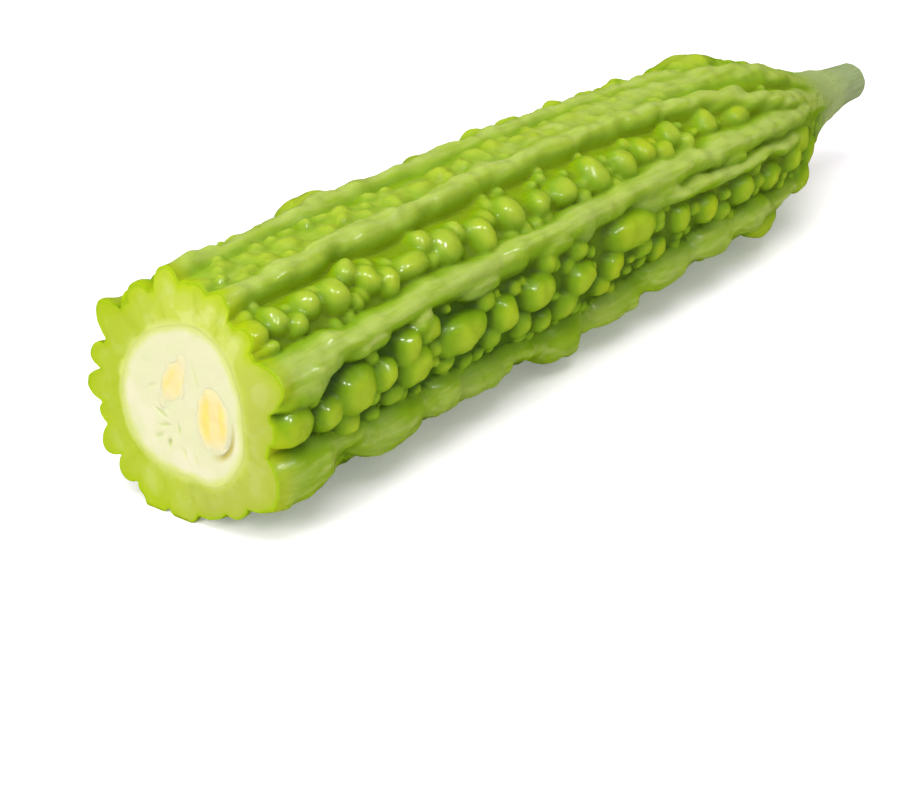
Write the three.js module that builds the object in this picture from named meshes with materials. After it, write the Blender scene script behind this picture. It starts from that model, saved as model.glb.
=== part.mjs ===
// A bitter gourd with its blossom end cut off, lying on its side.
// Millimetres, +Z up, +X from the cut face towards the stem.
//
// Places on the gourd are given by two numbers: along, the distance from the cut in millimetres,
// and angle, in degrees around the axis from the top towards -Y.

import * as THREE from "three";
import { mergeVertices } from "three/addons/utils/BufferGeometryUtils.js";

// ---- driving dimensions ----

const bodyLength = 246; // cut face to the foot of the stem
const stemLength = 21;
const crestRadius = 27.3; // axis to the top of a ridge, at the cut
const grooveDepth = 4.5; // top of a ridge to the groove beside it, at the cut
const pithRadius = 16.5; // mean radius of the white core at the cut
const cavityLength = 206; // how far the core runs towards the stem
const restHeight = 24.9; // axis above the surface that the gourd lies on, at the cut
const cutLean = Math.tan(THREE.MathUtils.degToRad(5.2)); // the cut face leans back towards the stem
const cutLeanReach = 45; // the lean has died out this far from the cut
const gap = 0.3; // clearance between separate solids
const crease = 0.5; // rounding where two warts meet
const fullness = 0.9; // how blunt warts and ridges are: below 1 blunter than a paraboloid
const endRelief = 0.25; // share of the relief that is left at the stem
const fadeReach = 14; // the relief fades over this length before the stem

const around = 60; // facets around the skin
const lengthwise = 88; // facets along the skin
const coreAround = around / 2;
const coreSteps = 8; // rings along the core
const seedSides = 16;
const seedSteps = 4;
const stemSides = 30;
const relaxRounds = 30; // how often the points of the skin are evened out

// Radius of the ridge tops and height of the axis, as shares of crestRadius and restHeight.
const crestProfile = [
  [0, 1], [75, 0.998], [110, 0.983], [150, 0.954], [182, 0.927], [194, 0.9], [207, 0.8],
  [213, 0.72], [220, 0.612], [228, 0.5], [235, 0.405], [241, 0.33], [bodyLength, 0.29],
];
const axisProfile = [
  [0, 1], [75, 0.998], [110, 0.982], [150, 0.953], [182, 0.928], [215, 0.895], [bodyLength, 0.875],
  [280, 0.845],
];

// Share of pithRadius that the core keeps on its way to the stem, and its outline at the cut.
const coreTaper = [[0, 1], [150, 0.97], [185, 0.84], [cavityLength, 0.45]];
const coreOutline = [
  [-180, 0.93], [-155, 0.98], [-128, 1.04], [-101, 1.02], [-75, 0.98], [-50, 0.94], [-15, 0.92],
  [14, 1], [35, 1], [66, 0.94], [85, 0.94], [118, 1.06], [146, 1.08], [171, 0.94], [180, 0.93],
];

// ---- ridges ----
// path: angle of the crest along the body. strength: height of the crest, 1 for a full ridge.
// width: half width in millimetres. skew: how much wider the ridge is above its crest than below.
// The ridges of the +Y side and the underside share one way of swaying.

function swayingRidge(start, turn, width, atCut = 1) {
  const path = [
    [0, start], [45, start + turn], [90, start - turn], [140, start + turn], [170, start + 2 * turn + 3],
    [200, start + 2 * turn + 11], [bodyLength, start + 2 * turn + 20],
  ];
  const strength = [[0, atCut], [24, 1], [190, 1], [215, 0.85], [235, 0.6], [bodyLength, 0.35]];
  return { path, strength, width: [[0, width], [bodyLength, width * 0.9]] };
}

const ridges = [
  { // on the top, towards -Y
    path: [[0, 22], [40, 21], [110, 20], [150, 23], [163, 27], [174, 32], [187, 43], [202, 51], [225, 56],
      [bodyLength, 60]],
    strength: [[0, 0.86], [20, 0.98], [60, 1], [100, 1.04], [150, 0.98], [205, 0.9], [235, 0.6],
      [bodyLength, 0.35]],
    width: [[0, 3.8], [50, 4.4], [bodyLength, 4]],
    skew: [[0, 0.1]],
  },
  { // the strongest ridge, on the -Y side
    path: [[0, 68], [12, 66.5], [26, 63.5], [45, 62.5], [60, 63], [100, 63], [150, 61.5], [180, 62],
      [208, 64], [bodyLength, 72]],
    strength: [[0, 1.08], [25, 1.02], [60, 0.98], [110, 1.02], [150, 1], [205, 0.95], [235, 0.7],
      [bodyLength, 0.45]],
    width: [[0, 6], [14, 5.6], [26, 4.3], [40, 4.2], [60, 4.7], [120, 4.7], [180, 4.4], [bodyLength, 3.9]],
    skew: [[0, 0.15], [25, 0], [60, 0.1], [85, -0.25], [105, -0.1], [130, 0.15]],
  },
  { // a late branch beside the strongest ridge
    path: [[122, 70], [140, 72], [155, 75], [180, 76.5], [207, 76]],
    strength: [[118, 0], [130, 0.7], [140, 0.95], [175, 0.95], [200, 0.7], [214, 0]],
    width: [[118, 2.6], [140, 3.4], [214, 3]],
  },
  { // low on the -Y side, under a chain of long bulges
    path: [[0, 118], [10, 120], [21, 114], [34, 119.5], [53, 119], [64, 123], [80, 124], [99, 133],
      [116, 126], [140, 119], [165, 114], [bodyLength, 118]],
    strength: [[0, 0.84], [30, 0.84], [80, 0.95], [105, 1.2], [120, 1.2], [180, 1.2], [205, 0.9],
      [240, 0.4], [bodyLength, 0.2]],
    width: [[0, 4.6], [60, 4.4], [105, 5], [150, 4.2], [bodyLength, 4]],
    skew: [[0, -0.25]],
  },
  swayingRidge(160, -0.6, 6, 0.35),
  swayingRidge(200, 0.6, 6),
  swayingRidge(234, 2, 4.2),
  swayingRidge(263, -2, 4.2),
  swayingRidge(299, 1.5, 4.8),
  { // along the top, towards +Y
    path: [[0, 348], [60, 345], [120, 346], [150, 350], [165, 356], [185, 371], [196, 378], [211, 388],
      [bodyLength, 400]],
    strength: [[0, 1], [20, 0.9], [50, 1.04], [80, 0.86], [110, 0.95], [150, 0.93], [190, 0.86],
      [205, 0.8], [235, 0.55], [bodyLength, 0.35]],
    width: [[0, 4.6], [50, 5], [150, 4.6], [bodyLength, 4]],
  },
  { // a low, broad bank between the two on the top, which the warts there stand on
    path: [[0, 7], [150, 7], [200, 19], [bodyLength, 31]],
    strength: [[0, 0.5], [80, 0.5], [130, 0.75], [200, 0.75], [bodyLength, 0.2]],
    width: [[0, 9], [bodyLength, 7.2]],
  },
];

// ---- warts ----
// Each wart is [along, angle, half length, half width, height], the last three in millimetres.

const lobesOfStrongRidge = [
  [8, 73.5, 9, 4.8, 4.4], [29, 68.5, 8, 3.5, 3.8], [45.5, 71.5, 4.2, 4.4, 3.7], [66, 69, 7, 3.4, 3.7],
  [92, 68.5, 7.5, 3.6, 3.7], [137, 67.5, 7, 3.6, 3.6], [169, 67.5, 7, 3.6, 3.5],
];
const bulgesOfLowRidge = [
  [8, 120, 14, 8.2, 6.6], [37, 123.5, 12, 6.8, 6.4], [53, 121.5, 8, 6, 5.6], [68, 124, 13, 5, 5.6],
  [99, 133, 10, 6.4, 7.4], [119, 126, 12, 5, 6.5], [139, 119.5, 12, 5, 6.5], [159, 115.5, 11, 5, 6.5],
  [177, 115, 11, 4.8, 6.2],
];
const wartsBelowTopRidge = [
  [2.5, 42, 3.2, 3.4, 3], [9, 40, 3.3, 3.7, 3.4], [13.5, 47, 3, 3.2, 2.8], [4.5, 51.5, 2.6, 1.7, 1.8],
  [18.5, 40, 4.3, 3.9, 3.6], [26.5, 42, 3.8, 4.8, 3.7], [31, 50, 1.9, 2.2, 1.9], [33, 35.5, 3.4, 3, 3.3],
  [37, 42, 3, 3.4, 3.4], [41.5, 47, 2.8, 4, 3.1], [49, 45, 6.2, 3.6, 3.4], [55.5, 37, 3.4, 3.8, 3.5],
  [61, 44.5, 4.6, 4.6, 3.6], [66.5, 40, 3, 3, 2.8], [72, 48, 4, 5.4, 3.7], [76.5, 40, 3, 3, 2.7],
  [84, 43, 4.6, 5, 3.7], [85.5, 53.5, 2.7, 2.4, 2.4], [90, 54, 2.4, 2.2, 2.3], [94.5, 54, 2.4, 2.2, 2.2],
  [94, 44.5, 3.6, 3.8, 3.5], [103, 44.5, 4.8, 4.2, 3.6], [109, 52, 2.8, 2.4, 2.3], [116, 42.5, 4.8, 5.8, 3.8],
  [120, 53, 2.6, 2.2, 2.2], [127.5, 44.5, 4, 4.6, 3.5], [137, 42.5, 4, 4.8, 3.5], [143.5, 48, 3.6, 3.6, 3.2],
  [149.5, 40, 4, 4, 3.2], [153, 48.5, 2.8, 3, 2.8], [164.5, 42, 4.2, 4.6, 3.5], [178, 46, 5, 3.4, 2.9],
];
const wartsBelowStrongRidge = [
  [5, 90, 5.6, 4.7, 4.2], [15.5, 94, 4.2, 4.2, 3.6], [10.5, 80, 2.6, 1.8, 1.8], [23.5, 88.5, 6.4, 6, 4.2],
  [22, 103.5, 3.6, 3.2, 2.8], [32.5, 88.5, 3.6, 4, 3.5], [36, 103, 3.4, 2.6, 2.5], [40, 81, 4, 5, 3.8],
  [42.5, 93, 5.2, 5, 3.9], [47, 77.5, 3.8, 3.6, 3.4], [57.5, 88, 8.4, 4.8, 4.3], [53, 101, 3.2, 2.6, 2.4],
  [66.5, 79, 3.6, 2.6, 2.5], [68.5, 101, 3.2, 3, 2.6], [72, 90, 4.6, 5, 3.9], [79.5, 103, 3.6, 3.4, 3],
  [84.5, 88, 6.4, 4.6, 3.9], [89, 75, 3.8, 3.2, 3], [87.5, 108, 3.2, 3.4, 2.9], [96, 106, 4.6, 4.6, 3.4],
  [100.5, 76, 3.8, 3, 2.8], [100.5, 92.5, 5, 4.8, 4], [111, 107, 3.6, 3.2, 2.6], [114, 96, 4.2, 4, 3.5],
  [122, 81, 11.5, 5, 4.2], [127, 95, 3.4, 3.2, 2.7], [134, 103, 3.6, 3.2, 2.7], [142.5, 88, 4.8, 4.2, 3.4],
  [155, 92, 4.6, 4.4, 3.6], [163, 101, 3.4, 2.8, 2.5], [171.5, 91.5, 5, 4.4, 3.6], [186, 94, 4.8, 4, 3.4],
  [198, 90, 5, 4.4, 3.6],
];
const wartsAlongTop = [
  [1.5, 8, 3, 3, 3.2], [11, 2, 4.4, 3.2, 3.2], [13, 12, 3.4, 2.4, 2.4], [20, 10, 3.6, 3, 2.8],
  [28, 6, 4, 3.6, 3.2], [32.5, 12, 3, 2.4, 2.5], [40, 8, 4.8, 3.2, 2.9], [47, 2, 4, 3.2, 3],
  [50.5, 11, 3.4, 3, 2.7], [60, 10, 4.2, 3.2, 2.8], [69.5, 8, 4.4, 3.4, 3],
];
const lobesAtShoulder = [
  [193, 330, 14.5, 8, 4.3], [186, 352, 10, 7, 4.4], [189, 131, 8, 5.6, 6.8], [208, 115.5, 6.5, 4.6, 6],
  [204, 80, 8, 4.5, 3.6], [214, 100, 7, 4.4, 3.8],
];
const wartsAlongFarOutline = [
  [52, 326, 11, 5, 5], [90, 325, 4.6, 4.4, 3.6], [110.5, 325, 4, 4.2, 4.3], [123, 326, 4.2, 4.4, 4.3],
  [142, 326, 4.8, 4.4, 4.1], [153, 325, 3.6, 4, 3.6], [168, 326, 4.6, 4.2, 3.8],
];
const wartsOnFarRim = [
  [1, 327, 3, 3.4, 2.4], [0.5, 279, 3, 3, 3.2], [0, 248, 3, 2.6, 2.2], [1.5, 218, 4, 3.6, 4.4],
  [0.5, 180, 4, 4.4, 3.4], [0, 141, 4, 3.8, 2.6],
];

// Rows that fill the space between two ridges. Columns stand side by side and are staggered.
const wartRows = [
  { angle: 3, spread: 10, columns: 1, from: 78, to: 150, height: 3, size: 3.6, seed: 11 },
  { angle: 139, spread: 8, columns: 1, from: 8, to: 205, height: 3.5, size: 4.2, seed: 23 },
  { angle: 180, spread: 6.4, columns: 1, from: 8, to: 205, height: 1.9, size: 4.2, seed: 37 },
  { angle: 218, spread: 4.8, columns: 1, from: 9, to: 215, height: 3.3, size: 3.6, seed: 41 },
  { angle: 249, spread: 4.8, columns: 1, from: 7, to: 215, height: 3, size: 3.4, seed: 53 },
  { angle: 281, spread: 6.4, columns: 1, from: 7, to: 215, height: 3.4, size: 4, seed: 67 },
  { angle: 323, spread: 13, columns: 2, from: 8, to: 168, height: 3, size: 3.7, seed: 79 },
  { angle: 100, spread: 13, columns: 2, from: 206, to: 232, height: 2.6, size: 3.6, seed: 83 },
];
const columnSpacing = 17; // degrees between two columns of a row
const wartSpacing = 1.9; // distance between warts of a row, as a share of their size
const twistStart = 150; // past here the rows drift round with the ridges
const twistRate = 0.25; // degrees per millimetre

// A repeatable number between 0 and 1.
function chance(seed, index) {
  const wave = Math.sin(seed * 12.9898 + index * 78.233) * 43758.5453;
  return wave - Math.floor(wave);
}

function rowOfWarts(row) {
  const warts = [];
  const step = row.size * wartSpacing;
  for (let column = 0; column < row.columns; column++) {
    const side = row.columns === 1 ? 0 : column - 0.5;
    const seed = row.seed + column;
    let along = row.from + column * step * 0.5;
    for (let index = 0; along < row.to; index++) {
      const size = row.size * (0.7 + 0.5 * chance(seed, 5 * index));
      const sway = (chance(seed, 5 * index + 1) - 0.5) * row.spread;
      const drift = Math.max(0, along - twistStart) * twistRate;
      const height = row.height * (0.8 + 0.34 * chance(seed, 5 * index + 2));
      const slim = 0.9 + 0.3 * chance(seed, 5 * index + 3);
      const angle = row.angle + side * columnSpacing + sway + drift;
      warts.push([along, angle, size * slim, size / slim, height]);
      along += step * (0.9 + 0.24 * chance(seed, 5 * index + 4));
    }
  }
  return warts;
}

const warts = [
  lobesOfStrongRidge, bulgesOfLowRidge, wartsBelowTopRidge, wartsBelowStrongRidge, wartsAlongTop,
  lobesAtShoulder, wartsAlongFarOutline, wartsOnFarRim, ...wartRows.map(rowOfWarts),
].flat();

// ---- seeds ----
// y and z: place in the cut face from the axis. turn: degrees from upright, towards -Y.

const seedDepth = 2.6; // how deep a cut seed reaches into the core
const seeds = {
  seed_upper: { y: 2.6, z: 3.7, halfLength: 5.6, halfWidth: 2.6, turn: 27 },
  seed_lower: { y: -7.8, z: -1.2, halfLength: 6.6, halfWidth: 4, turn: -5 },
};

// ---- the skin as a height over the axis ----

// Smooth interpolation through [position, value] pairs, level at both ends.
function through(knots, position) {
  const last = knots.length - 1;
  if (position <= knots[0][0]) return knots[0][1];
  if (position >= knots[last][0]) return knots[last][1];
  let k = 0;
  while (position > knots[k + 1][0]) k++;
  const slopeAt = (i) => {
    if (i === 0 || i === last) return 0;
    const before = (knots[i][1] - knots[i - 1][1]) / (knots[i][0] - knots[i - 1][0]);
    const after = (knots[i + 1][1] - knots[i][1]) / (knots[i + 1][0] - knots[i][0]);
    return before * after <= 0 ? 0 : (2 * before * after) / (before + after);
  };
  const span = knots[k + 1][0] - knots[k][0];
  const t = (position - knots[k][0]) / span;
  const rise = knots[k + 1][1] - knots[k][1];
  const bend = t * (1 - t) * ((1 - t) * (slopeAt(k) * span - rise) - t * (slopeAt(k + 1) * span - rise));
  return knots[k][1] + rise * t + bend;
}

function wrapped(angle) {
  return angle - 360 * Math.round(angle / 360);
}

// Height of a rounded lump, from 1 at its middle to 0 at its edge.
function dome(squaredDistance) {
  return squaredDistance < 1 ? Math.pow(1 - squaredDistance, fullness) : 0;
}

// The larger of two heights, rounded in the crease between them.
function blended(a, b) {
  const nearness = Math.max(crease - Math.abs(a - b), 0);
  return Math.max(a, b) + (nearness * nearness) / (4 * crease);
}

function skinRadius(along, angle) {
  const share = through(crestProfile, along);
  const crest = crestRadius * share;
  const perDegree = THREE.MathUtils.degToRad(crest);
  let height = 0;
  for (const ridge of ridges) {
    const aside = (wrapped(angle - through(ridge.path, along)) * perDegree) / through(ridge.width, along);
    const offset = aside / (1 - through(ridge.skew ?? [[0, 0]], along) * Math.tanh(2 * aside));
    const lump = dome(offset * offset);
    if (lump > 0) height = blended(height, lump * grooveDepth * through(ridge.strength, along));
  }
  for (const [place, direction, halfLength, halfWidth, top] of warts) {
    const forward = (along - place) / halfLength;
    if (Math.abs(forward) >= 1) continue;
    const sideways = (wrapped(angle - direction) * perDegree) / halfWidth;
    const lump = dome(forward * forward + sideways * sideways);
    if (lump > 0) height = blended(height, lump * top);
  }
  const beforeStem = THREE.MathUtils.clamp((bodyLength - along) / fadeReach, 0, 1);
  const relief = share * THREE.MathUtils.lerp(endRelief, 1, beforeStem);
  return crest - (grooveDepth - height) * relief;
}

function coreRadius(along, angle) {
  return pithRadius * through(coreOutline, wrapped(angle)) * through(coreTaper, along);
}

// A point at a given radius from the axis. Near the cut the body leans with the cut face.
function placed(along, angle, radius) {
  const turn = THREE.MathUtils.degToRad(angle);
  const rise = radius * Math.cos(turn);
  const lean = cutLean * rise * Math.pow(Math.max(0, 1 - along / cutLeanReach), 2);
  const axisHeight = restHeight * through(axisProfile, along);
  return new THREE.Vector3(along + lean, -radius * Math.sin(turn), axisHeight + rise);
}

// ---- closed meshes from rings of points ----

// Triangles between rings that run from one end to the other. A ring has as many points as the one
// before it, or half or twice as many, or is a single point at a tip.
function loft(rings) {
  const triangles = [];
  for (let i = 0; i + 1 < rings.length; i++) {
    const here = rings[i];
    const next = rings[i + 1];
    const count = Math.max(here.length, next.length);
    for (let j = 0; j < count; j++) {
      const k = (j + 1) % count;
      if (here.length === 1) triangles.push(here[0], next[k], next[j]);
      else if (next.length === 1) triangles.push(here[j], here[k], next[0]);
      else if (here.length > next.length) widen(triangles, here, next, j, false);
      else if (here.length < next.length) widen(triangles, next, here, j, true);
      else triangles.push(here[j], here[k], next[k], here[j], next[k], next[j]);
    }
  }
  return triangles;
}

// Joins facet j of a ring to a ring with half as many points.
function widen(triangles, full, half, j, flipped) {
  const start = full[j];
  const end = full[(j + 1) % full.length];
  const near = half[Math.ceil(j / 2) % half.length];
  triangles.push(...(flipped ? [end, start, near] : [start, end, near]));
  if (j % 2 === 0) return;
  const far = half[(j - 1) / 2];
  triangles.push(...(flipped ? [near, start, far] : [start, near, far]));
}

function bodyFrom(triangles) {
  const positions = triangles.flatMap((point) => point.toArray());
  const soup = new THREE.BufferGeometry();
  soup.setAttribute("position", new THREE.Float32BufferAttribute(positions, 3));
  const body = mergeVertices(soup, 1e-3);
  body.computeVertexNormals();
  return body;
}

function middleOf(ring) {
  const middle = new THREE.Vector3();
  ring.forEach((point) => middle.add(point));
  return middle.divideScalar(ring.length);
}

// Rings of the skin. Their points drift towards the steep sides of ridges and warts, so that the
// facets there are not much longer than those on the smooth stretches.
function skinRings() {
  let places = [];
  for (let i = 0; i <= lengthwise; i++) {
    const row = [];
    for (let j = 0; j < around; j++) row.push([(bodyLength * i) / lengthwise, (360 * j) / around]);
    places.push(row);
  }
  const point = ([along, angle]) => {
    const spot = placed(along, angle, skinRadius(along, angle));
    spot.z = Math.max(spot.z, 0); // flattened where it rests
    return spot;
  };
  for (let round = 0; round < relaxRounds; round++) {
    const points = places.map((row) => row.map(point));
    places = places.map((row, i) => row.map(([along, angle], j) => {
      const neighbours = [[i, (j + 1) % around], [i, (j + around - 1) % around]];
      if (i > 0 && i < lengthwise) neighbours.push([i - 1, j], [i + 1, j]);
      let total = 0;
      let drift = 0;
      let turn = 0;
      for (const [row, column] of neighbours) {
        const reach = points[i][j].distanceTo(points[row][column]);
        total += reach;
        drift += reach * (places[row][column][0] - along);
        turn += reach * wrapped(places[row][column][1] - angle);
      }
      return [along + (0.5 * drift) / total, angle + (0.5 * turn) / total];
    }));
  }
  return places.map((row) => row.map(point));
}

function coreRings(clearance, depth) {
  const rings = [];
  for (let i = 0; i <= coreSteps; i++) {
    const along = depth * Math.sin((Math.PI / 2) * (i / coreSteps));
    const ring = [];
    for (let j = 0; j < coreAround; j++) {
      const angle = (360 * j) / coreAround;
      ring.push(placed(along, angle, coreRadius(along, angle) + clearance));
    }
    rings.push(ring);
  }
  return rings;
}

// ---- solids ----

// The green wall: warty outside, hollow inside, open at the cut.
function makeFlesh() {
  const outside = skinRings();
  const hollow = coreRings(gap, cavityLength).reverse();
  return bodyFrom(loft([[middleOf(hollow[0])], ...hollow, ...outside, [middleOf(outside.at(-1))]]));
}

// Rings of a cut seed, from its outline in the cut face to its deepest point.
function seedRings({ y, z, halfLength, halfWidth, turn }, margin) {
  const tilt = THREE.MathUtils.degToRad(turn);
  const rings = [];
  for (let i = 0; i <= seedSteps; i++) {
    const sink = (Math.PI / 2) * (i / seedSteps);
    const depth = (seedDepth + margin) * Math.sin(sink);
    const ring = [];
    for (let j = 0; j < (i === seedSteps ? 1 : seedSides); j++) {
      const turnAround = (2 * Math.PI * j) / seedSides;
      const up = (halfLength + margin) * Math.cos(sink) * Math.cos(turnAround);
      const across = -(halfWidth + margin) * Math.cos(sink) * Math.sin(turnAround);
      const rise = z + up * Math.cos(tilt) + across * Math.sin(tilt);
      const sideways = y + across * Math.cos(tilt) - up * Math.sin(tilt);
      ring.push(new THREE.Vector3(cutLean * rise + depth, sideways, restHeight + rise));
    }
    rings.push(ring);
  }
  return rings;
}

function makeSeed(seed) {
  const rings = seedRings(seed, 0);
  return bodyFrom(loft([[middleOf(rings[0])], ...rings]));
}

// The white core: it fills the hollow, and holds a pocket for each seed in its cut face.
function makePith() {
  const rings = coreRings(0, cavityLength - 2 * gap);
  const pockets = Object.values(seeds).map((seed) => seedRings(seed, gap));
  const flat = (ring) => ring.map((point) => new THREE.Vector2(point.y, point.z));
  const holes = pockets.map((pocket) => pocket[0]);
  const corners = [rings[0], ...holes].flat();
  const faces = THREE.ShapeUtils.triangulateShape(flat(rings[0]), holes.map(flat));
  const front = faces.flatMap(([a, b, c]) => [corners[c], corners[b], corners[a]]);
  const walls = pockets.flatMap((pocket) => loft(pocket).reverse());
  return bodyFrom([...front, ...loft([...rings, [middleOf(rings.at(-1))]]), ...walls]);
}

// The stalk: the ridges of the body run on into its foot and fade out, and its cut end is rounded.
function makeStem() {
  const fluteLength = 12;
  const footRadius = crestRadius * through(crestProfile, bodyLength);
  const profile = [
    [0, footRadius], [2, 7.3], [5, 6.7], [9, 6], [13, 5.5], [17, 5.3], [19.6, 5.2], [20.6, 4.5],
    [stemLength, 3],
  ];
  const rings = profile.map(([along, radius]) => {
    const ring = [];
    for (let j = 0; j < stemSides; j++) {
      const angle = (360 * j) / stemSides;
      const ridge = skinRadius(bodyLength, angle) - footRadius;
      const flute = ridge * Math.max(0, 1 - along / fluteLength);
      ring.push(placed(bodyLength + gap + along, angle, radius + flute));
    }
    return ring;
  });
  return bodyFrom(loft([[middleOf(rings[0])], ...rings, [middleOf(rings.at(-1))]]));
}

// ---- the gourd ----

function piece(name, geometry, color, roughness) {
  const material = new THREE.MeshStandardMaterial({ color, roughness, metalness: 0 });
  const mesh = new THREE.Mesh(geometry, material);
  mesh.name = name;
  return mesh;
}

const gourd = new THREE.Group();
gourd.add(piece("flesh", makeFlesh(), 0x86b52e, 0.35));
gourd.add(piece("pith", makePith(), 0xf3f0cf, 0.7));
gourd.add(piece("seed_upper", makeSeed(seeds.seed_upper), 0xfbe9a2, 0.5));
gourd.add(piece("seed_lower", makeSeed(seeds.seed_lower), 0xfdea94, 0.5));
gourd.add(piece("stem", makeStem(), 0x93a866, 0.55));

// The origin is the middle of the footprint, on the surface that the gourd rests on.
const bounds = new THREE.Box3().setFromObject(gourd);
const middle = bounds.getCenter(new THREE.Vector3());
gourd.position.set(-middle.x, -middle.y, -bounds.min.z);

export default gourd;
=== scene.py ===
# A bitter gourd with its blossom end cut off, lying on a pale floor.
# Shapes are worked out in millimetres and become metres when a piece is made.
import math

import bpy
import numpy as np
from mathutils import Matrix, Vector


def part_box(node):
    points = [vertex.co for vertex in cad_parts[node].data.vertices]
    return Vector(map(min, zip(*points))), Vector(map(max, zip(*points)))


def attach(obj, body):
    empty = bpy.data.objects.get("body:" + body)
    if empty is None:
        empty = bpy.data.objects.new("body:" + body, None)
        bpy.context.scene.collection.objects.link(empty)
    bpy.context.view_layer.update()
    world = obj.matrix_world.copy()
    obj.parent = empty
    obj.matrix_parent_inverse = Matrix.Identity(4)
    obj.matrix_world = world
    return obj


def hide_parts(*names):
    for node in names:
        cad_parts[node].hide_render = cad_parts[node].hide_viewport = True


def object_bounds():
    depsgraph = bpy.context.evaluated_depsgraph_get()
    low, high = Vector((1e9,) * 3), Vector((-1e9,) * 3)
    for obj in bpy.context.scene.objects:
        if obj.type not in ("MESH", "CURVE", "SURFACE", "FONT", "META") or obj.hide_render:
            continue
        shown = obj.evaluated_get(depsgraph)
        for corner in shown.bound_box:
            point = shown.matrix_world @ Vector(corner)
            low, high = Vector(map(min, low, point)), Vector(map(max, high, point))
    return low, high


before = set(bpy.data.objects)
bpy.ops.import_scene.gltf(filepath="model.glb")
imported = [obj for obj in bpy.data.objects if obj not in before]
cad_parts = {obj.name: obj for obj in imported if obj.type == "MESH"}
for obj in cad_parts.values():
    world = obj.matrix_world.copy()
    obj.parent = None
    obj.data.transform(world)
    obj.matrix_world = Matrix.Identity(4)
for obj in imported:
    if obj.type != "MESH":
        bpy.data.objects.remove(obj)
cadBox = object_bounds()
print("frame loaded")

# Places on the gourd are given by along, the distance from the cut, and angle,
# in degrees around the axis from the top towards -Y.
skin = {
    "length": 246,  # cut face to the foot of the stem
    "crestRadius": 27.3,  # axis to the top of a ridge, at the cut
    "grooveDepth": 4.5,
    "restHeight": 24.9,  # axis above the floor, at the cut
    "cutLean": 5.2,  # degrees that the cut face leans back towards the stem
    "cutLeanReach": 45,  # the lean has died out this far from the cut
    "crestProfile": [
        [0, 1], [75, 0.998], [110, 0.983], [150, 0.954], [182, 0.927], [194, 0.9], [207, 0.8],
        [213, 0.72], [220, 0.612], [228, 0.5], [235, 0.405], [241, 0.33], [246, 0.29],
    ],
    "axisProfile": [
        [0, 1], [75, 0.998], [110, 0.982], [150, 0.953], [182, 0.928], [215, 0.895], [246, 0.875],
        [280, 0.845],
    ],
    "endRelief": 0.25,  # share of the relief that is left at the stem
    "fadeReach": 14,
    "ridgeRoundness": [[0, 0.68], [25, 0.9]],
    "wartRoundness": 0.62,  # 0.5 is a half sphere, 1 a flat cone
    "squareness": 2.3,  # 2 makes the warts oval, more makes them pillows
    "crease": 9,  # how sharp the crease between two warts is
    "lift": 0.35,  # how far above a ridge's crest its painted highlight line runs, as a share of its width
    "swell": 0.3,  # added to each wart's half length and width, so that neighbours press together
    "around": 320,
    "lengthwise": 280,
    "rounds": 60,
    "edge": 0.35,  # rounding of the cut edge
    "edgeRows": [0, 0.05, 0.15, 0.3, 0.55],  # close rows that carry the rounding, in steps of the grid
    "faceRings": 14,
    "degreeWidth": 0.45,  # mm that noise takes a degree for
}
stem = {
    "length": 21,
    "gap": 0.3,  # between flesh and stem in the solid part; the dressed stem takes it up
    "gapReach": 3,
    "profile": [[2, 7.35], [5, 6.7], [9, 6], [13, 5.5], [17, 5.3], [19.6, 5.2], [20.6, 4.5], [21, 3]],
    "fluteReach": 12,  # the ridges run this far onto the stem
    "tipStart": 18,  # closer rows from here on
    "around": 160,
    "lengthwise": 48,
    "tipRows": 15,
}
core = {
    "radius": 16.5,
    "depth": 206,
    "sideRings": 12,
    "lowerSeedAside": 7.8,  # how far the lower seed's middle is from the axis
    "taper": [[0, 1], [150, 0.97], [185, 0.84], [206, 0.45]],
    "outline": [
        [-180, 0.93], [-155, 0.98], [-128, 1.04], [-101, 1.02], [-75, 0.98], [-50, 0.94], [-15, 0.92],
        [14, 1.0], [35, 1.0], [66, 0.94], [85, 0.94], [118, 1.06], [146, 1.08], [171, 0.94], [180, 0.93],
    ],
}
seeds = {
    "seed_upper": {
        "y": 2.6, "z": 3.7, "halfLength": 6.9, "halfWidth": 3.6, "turn": 27, "rimDepth": 0.08, "rise": 0.2,
        "seat": 0.72, "gap": 0, "gapBearing": 60, "gapReach": 60, "soft": 0.05,
    },
    "seed_lower": {
        "y": -8, "z": -1.2, "halfLength": 7.4, "halfWidth": 4.8, "turn": -5, "rimDepth": 0.1, "rise": 0.32,
        "seat": 0.84, "gap": 0.9, "gapBearing": 42, "gapReach": 44, "soft": 0.45,
    },
}

seedForm = {
    "taper": 0.16,  # how much narrower a seed is at its upper end
    "back": 2.4,  # how deep its rounded back lies in the core
    "rings": 24,
    "backRings": 8,
    "around": 64,
}

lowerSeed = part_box("seed_lower")
cutX = cadBox[1].x * 1000 - skin["length"] - stem["gap"] - stem["length"]
axisY = (lowerSeed[0].y + lowerSeed[1].y) * 500 + core["lowerSeedAside"]


def swayingRidge(start, turn, width, atCut=1):
    path = [
        [0, start], [45, start + turn], [90, start - turn], [140, start + turn], [170, start + 2 * turn + 3],
        [200, start + 2 * turn + 11], [246, start + 2 * turn + 20],
    ]
    strength = [[0, atCut], [24, 1], [190, 1], [215, 0.85], [235, 0.6], [246, 0.35]]
    return {"path": path, "strength": strength, "width": [[0, width], [246, width * 0.9]]}


def bank(angle, width, strength):  # a low bank that a row of warts stands on
    path = [[0, angle], [150, angle], [200, angle + 12], [246, angle + 24]]
    level = [[0, strength], [80, strength], [130, strength + 0.25], [200, strength + 0.25], [246, 0.2]]
    return {"path": path, "strength": level, "width": [[0, width], [246, width * 0.8]], "plain": True}


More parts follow.
